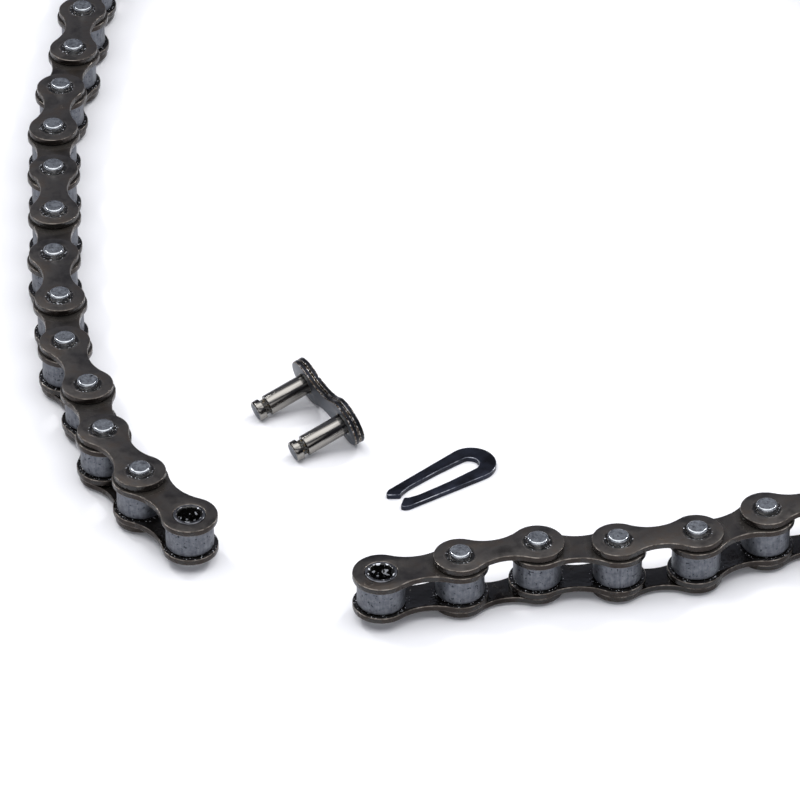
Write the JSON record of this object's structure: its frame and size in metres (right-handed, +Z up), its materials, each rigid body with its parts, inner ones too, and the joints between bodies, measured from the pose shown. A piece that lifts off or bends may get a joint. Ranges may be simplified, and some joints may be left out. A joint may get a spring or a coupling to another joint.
{
  "type": "roller chain",
  "caption": "Slim roller drive chain lying on its side in an open loop, with its connecting link and spring clip apart, ready to join its two open ends.",
  "frame": {"origin": "the middle of the chain's box, on the surface that it lies on", "axes": "+Z up, along the chain's pins; +Y along the open loop's longer side, away from its two open ends; +X to the right with the open ends nearest"},
  "size_m": [0.1562, 0.2135, 0.0107],
  "materials": {
    "plate_steel": "dark oiled steel with light bevelled edges",
    "roller_steel": "matte grey-blue steel, lightly pitted",
    "pin_steel": "polished steel",
    "bush_steel": "oiled bright steel",
    "blued_steel": "blue-black oiled spring steel"
  },
  "bodies": {
    "link_01": {"left_end_link_frame": "plate_steel"},
    "left_end_roller_a": {"left_end_roller_a": "roller_steel"},
    "left_end_roller_b": {"left_end_roller_b": "roller_steel"},
    "link_02": {"outer_link_02": "plate_steel"},
    "link_03": {"inner_link_03": "plate_steel"},
    "link_04": {"outer_link_04": "plate_steel"},
    "link_05": {"inner_link_05": "plate_steel"},
    "link_06": {"outer_link_06": "plate_steel"},
    "link_07": {"inner_link_07": "plate_steel"},
    "link_08": {"outer_link_08": "plate_steel"},
    "link_09": {"inner_link_09": "plate_steel"},
    "link_10": {"outer_link_10": "plate_steel"},
    "link_11": {"inner_link_11": "plate_steel"},
    "link_12": {"outer_link_12": "plate_steel"},
    "link_13": {"inner_link_13": "plate_steel"},
    "link_14": {"outer_link_14": "plate_steel"},
    "link_15": {"inner_link_15": "plate_steel"},
    "link_16": {"outer_link_16": "plate_steel"},
    "link_17": {"inner_link_17": "plate_steel"},
    "link_18": {"outer_link_18": "plate_steel"},
    "link_19": {"inner_link_19": "plate_steel"},
    "link_20": {"outer_link_20": "plate_steel"},
    "link_21": {"inner_link_21": "plate_steel"},
    "link_22": {"outer_link_22": "plate_steel"},
    "link_23": {"inner_link_23": "plate_steel"},
    "link_24": {"outer_link_24": "plate_steel"},
    "link_25": {"inner_link_25": "plate_steel"},
    "link_26": {"outer_link_26": "plate_steel"},
    "link_27": {"inner_link_27": "plate_steel"},
    "link_28": {"outer_link_28": "plate_steel"},
    "link_29": {"inner_link_29": "plate_steel"},
    "link_30": {"outer_link_30": "plate_steel"},
    "link_31": {"inner_link_31": "plate_steel"},
    "link_32": {"outer_link_32": "plate_steel"},
    "link_33": {"inner_link_33": "plate_steel"},
    "link_34": {"outer_link_34": "plate_steel"},
    "link_35": {"inner_link_35": "plate_steel"},
    "link_36": {"outer_link_36": "plate_steel"},
    "link_37": {"inner_link_37": "plate_steel"},
    "link_38": {"outer_link_38": "plate_steel"},
    "link_39": {"inner_link_39": "plate_steel"},
    "link_40": {"outer_link_40": "plate_steel"},
    "link_41": {"inner_link_41": "plate_steel"},
    "link_42": {"outer_link_42": "plate_steel"},
    "link_43": {"inner_link_43": "plate_steel"},
    "link_44": {"outer_link_44_upper_plate": "plate_steel", "outer_link_44_lower_plate": "plate_steel", "outer_link_44_pin_a": "pin_steel", "outer_link_44_pin_b": "pin_steel"},
    "link_45": {"right_end_upper_plate": "plate_steel", "right_end_lower_plate": "plate_steel", "right_end_bush_a": "bush_steel", "right_end_bush_b": "bush_steel"},
    "right_end_roller_a": {"right_end_roller_a": "roller_steel"},
    "right_end_roller_b": {"right_end_roller_b": "roller_steel"},
    "connecting_link": {"connecting_link_plate": "blued_steel", "connecting_link_pin_a": "pin_steel", "connecting_link_pin_b": "pin_steel"},
    "cover_plate": {"connecting_link_cover_plate": "blued_steel"},
    "spring_clip": {"spring_clip": "blued_steel"}
  },
  "joints": [
    {"name": "pin_01", "type": "hinge", "parent": "link_02", "child": "link_01", "pos_m": [-0.05466, -0.07792, 0.00535], "axis": [0, 0, 1], "range_deg": [-45, 45]},
    {"name": "pin_02", "type": "hinge", "parent": "link_03", "child": "link_02", "pos_m": [-0.06101, -0.06692, 0.00535], "axis": [0, 0, -1], "range_deg": [-45, 45]},
    {"name": "pin_03", "type": "hinge", "parent": "link_04", "child": "link_03", "pos_m": [-0.06409, -0.0546, 0.00535], "axis": [0, 0, 1], "range_deg": [-45, 31]},
    {"name": "pin_04", "type": "hinge", "parent": "link_05", "child": "link_04", "pos_m": [-0.06843, -0.04267, 0.00535], "axis": [0, 0, -1], "range_deg": [-24, 45]},
    {"name": "pin_05", "type": "hinge", "parent": "link_06", "child": "link_05", "pos_m": [-0.06987, -0.03005, 0.00535], "axis": [0, 0, 1], "range_deg": [-41, 19]},
    {"name": "pin_06", "type": "hinge", "parent": "link_07", "child": "link_06", "pos_m": [-0.07153, -0.01746, 0.00535], "axis": [0, 0, -1], "range_deg": [-17, 39]},
    {"name": "pin_07", "type": "hinge", "parent": "link_08", "child": "link_07", "pos_m": [-0.07208, -0.00477, 0.00535], "axis": [0, 0, 1], "range_deg": [-35, 13]},
    {"name": "pin_08", "type": "hinge", "parent": "link_09", "child": "link_08", "pos_m": [-0.07286, 0.00791, 0.00535], "axis": [0, 0, -1], "range_deg": [-12, 34]},
    {"name": "pin_09", "type": "hinge", "parent": "link_10", "child": "link_09", "pos_m": [-0.07352, 0.02059, 0.00535], "axis": [0, 0, 1], "range_deg": [-32, 10]},
    {"name": "pin_10", "type": "hinge", "parent": "link_11", "child": "link_10", "pos_m": [-0.07286, 0.03327, 0.00535], "axis": [0, 0, -1], "range_deg": [-9, 31]},
    {"name": "pin_11", "type": "hinge", "parent": "link_12", "child": "link_11", "pos_m": [-0.0712, 0.04586, 0.00535], "axis": [0, 0, 1], "range_deg": [-31, 9]},
    {"name": "pin_12", "type": "hinge", "parent": "link_13", "child": "link_12", "pos_m": [-0.0702, 0.05852, 0.00535], "axis": [0, 0, -1], "range_deg": [-8, 30]},
    {"name": "pin_13", "type": "hinge", "parent": "link_14", "child": "link_13", "pos_m": [-0.06943, 0.0712, 0.00535], "axis": [0, 0, 1], "range_deg": [-29, 7]},
    {"name": "pin_14", "type": "hinge", "parent": "link_15", "child": "link_14", "pos_m": [-0.06603, 0.08344, 0.00535], "axis": [0, 0, -1], "range_deg": [-6, 28]},
    {"name": "pin_15", "type": "hinge", "parent": "link_16", "child": "link_15", "pos_m": [-0.05795, 0.09324, 0.00535], "axis": [0, 0, 1], "range_deg": [-28, 6]},
    {"name": "pin_16", "type": "hinge", "parent": "link_17", "child": "link_16", "pos_m": [-0.04659, 0.0989, 0.00535], "axis": [0, 0, -1], "range_deg": [-6, 28]},
    {"name": "pin_17", "type": "hinge", "parent": "link_18", "child": "link_17", "pos_m": [-0.0339, 0.09946, 0.00535], "axis": [0, 0, 1], "range_deg": [-28, 6]},
    {"name": "pin_18", "type": "hinge", "parent": "link_19", "child": "link_18", "pos_m": [-0.02121, 0.10001, 0.00535], "axis": [0, 0, -1], "range_deg": [-6, 28]},
    {"name": "pin_19", "type": "hinge", "parent": "link_20", "child": "link_19", "pos_m": [-0.00852, 0.10057, 0.00535], "axis": [0, 0, 1], "range_deg": [-29, 7]},
    {"name": "pin_20", "type": "hinge", "parent": "link_21", "child": "link_20", "pos_m": [0.00416, 0.10112, 0.00535], "axis": [0, 0, -1], "range_deg": [-6, 28]},
    {"name": "pin_21", "type": "hinge", "parent": "link_22", "child": "link_21", "pos_m": [0.01685, 0.10167, 0.00535], "axis": [0, 0, 1], "range_deg": [-27, 5]},
    {"name": "pin_22", "type": "hinge", "parent": "link_23", "child": "link_22", "pos_m": [0.02953, 0.10233, 0.00535], "axis": [0, 0, -1], "range_deg": [-5, 27]},
    {"name": "pin_23", "type": "hinge", "parent": "link_23", "child": "link_24", "pos_m": [0.04143, 0.09788, 0.00535], "axis": [0, 0, 1], "range_deg": [-4, 26]},
    {"name": "pin_24", "type": "hinge", "parent": "link_24", "child": "link_25", "pos_m": [0.05323, 0.09319, 0.00535], "axis": [0, 0, -1], "range_deg": [-26, 4]},
    {"name": "pin_25", "type": "hinge", "parent": "link_25", "child": "link_26", "pos_m": [0.063, 0.08507, 0.00535], "axis": [0, 0, 1], "range_deg": [-4, 26]},
    {"name": "pin_26", "type": "hinge", "parent": "link_26", "child": "link_27", "pos_m": [0.06978, 0.07434, 0.00535], "axis": [0, 0, -1], "range_deg": [-27, 5]},
    {"name": "pin_27", "type": "hinge", "parent": "link_27", "child": "link_28", "pos_m": [0.07292, 0.06203, 0.00535], "axis": [0, 0, 1], "range_deg": [-5, 27]},
    {"name": "pin_28", "type": "hinge", "parent": "link_28", "child": "link_29", "pos_m": [0.07299, 0.04933, 0.00535], "axis": [0, 0, -1], "range_deg": [-28, 6]},
    {"name": "pin_29", "type": "hinge", "parent": "link_29", "child": "link_30", "pos_m": [0.07305, 0.03663, 0.00535], "axis": [0, 0, 1], "range_deg": [-7, 29]},
    {"name": "pin_30", "type": "hinge", "parent": "link_30", "child": "link_31", "pos_m": [0.07312, 0.02393, 0.00535], "axis": [0, 0, -1], "range_deg": [-30, 8]},
    {"name": "pin_31", "type": "hinge", "parent": "link_31", "child": "link_32", "pos_m": [0.07319, 0.01123, 0.00535], "axis": [0, 0, 1], "range_deg": [-18, 40]},
    {"name": "pin_32", "type": "hinge", "parent": "link_32", "child": "link_33", "pos_m": [0.07326, -0.00147, 0.00535], "axis": [0, 0, -1], "range_deg": [-45, 45]},
    {"name": "pin_33", "type": "hinge", "parent": "link_33", "child": "link_34", "pos_m": [0.07332, -0.01417, 0.00535], "axis": [0, 0, 1], "range_deg": [-45, 45]},
    {"name": "pin_34", "type": "hinge", "parent": "link_34", "child": "link_35", "pos_m": [0.07339, -0.02687, 0.00535], "axis": [0, 0, -1], "range_deg": [-45, 45]},
    {"name": "pin_35", "type": "hinge", "parent": "link_35", "child": "link_36", "pos_m": [0.07345, -0.03957, 0.00535], "axis": [0, 0, 1], "range_deg": [-45, 45]},
    {"name": "pin_36", "type": "hinge", "parent": "link_36", "child": "link_37", "pos_m": [0.07352, -0.05227, 0.00535], "axis": [0, 0, -1], "range_deg": [-45, 45]},
    {"name": "pin_37", "type": "hinge", "parent": "link_37", "child": "link_38", "pos_m": [0.07292, -0.06495, 0.00535], "axis": [0, 0, 1], "range_deg": [-45, 45]},
    {"name": "pin_38", "type": "hinge", "parent": "link_38", "child": "link_39", "pos_m": [0.06722, -0.0763, 0.00535], "axis": [0, 0, -1], "range_deg": [-45, 45]},
    {"name": "pin_39", "type": "hinge", "parent": "link_39", "child": "link_40", "pos_m": [0.05739, -0.08434, 0.00535], "axis": [0, 0, 1], "range_deg": [-36, 14]},
    {"name": "pin_40", "type": "hinge", "parent": "link_40", "child": "link_41", "pos_m": [0.04514, -0.08769, 0.00535], "axis": [0, 0, -1], "range_deg": [-15, 37]},
    {"name": "pin_41", "type": "hinge", "parent": "link_41", "child": "link_42", "pos_m": [0.03385, -0.09352, 0.00535], "axis": [0, 0, 1], "range_deg": [-37, 15]},
    {"name": "pin_42", "type": "hinge", "parent": "link_42", "child": "link_43", "pos_m": [0.02134, -0.09568, 0.00535], "axis": [0, 0, -1], "range_deg": [-16, 38]},
    {"name": "pin_43", "type": "hinge", "parent": "link_43", "child": "link_44", "pos_m": [0.00865, -0.09623, 0.00535], "axis": [0, 0, 1], "range_deg": [-40, 18]},
    {"name": "pin_44", "type": "hinge", "parent": "link_44", "child": "link_45", "pos_m": [-0.00359, -0.09963, 0.00535], "axis": [0, 0, -1], "range_deg": [-18, 40]},
    {"name": "left_end_roller_a_spin", "type": "hinge", "parent": "link_01", "child": "left_end_roller_a", "pos_m": [-0.0465, -0.08765, 0.00535], "axis": [0, 0, 1], "continuous": true},
    {"name": "left_end_roller_b_spin", "type": "hinge", "parent": "link_01", "child": "left_end_roller_b", "pos_m": [-0.05466, -0.07792, 0.00535], "axis": [0, 0, 1], "continuous": true},
    {"name": "right_end_roller_a_spin", "type": "hinge", "parent": "link_45", "child": "right_end_roller_a", "pos_m": [-0.00359, -0.09963, 0.00535], "axis": [0, 0, 1], "continuous": true},
    {"name": "right_end_roller_b_spin", "type": "hinge", "parent": "link_45", "child": "right_end_roller_b", "pos_m": [-0.016, -0.10233, 0.00535], "axis": [0, 0, 1], "continuous": true},
    {"name": "connecting_link_lift", "type": "slide", "parent": "link_45", "child": "connecting_link", "axis": [0, 0, 1], "range_m": [0, 0.02]},
    {"name": "cover_plate_slide", "type": "slide", "parent": "connecting_link", "child": "cover_plate", "axis": [-0.8417, -0.4801, -0.2473], "range_m": [0, 0.0095]},
    {"name": "spring_clip_lift", "type": "slide", "parent": "link_45", "child": "spring_clip", "axis": [0, 0, 1], "range_m": [0, 0.02]}
  ]
}
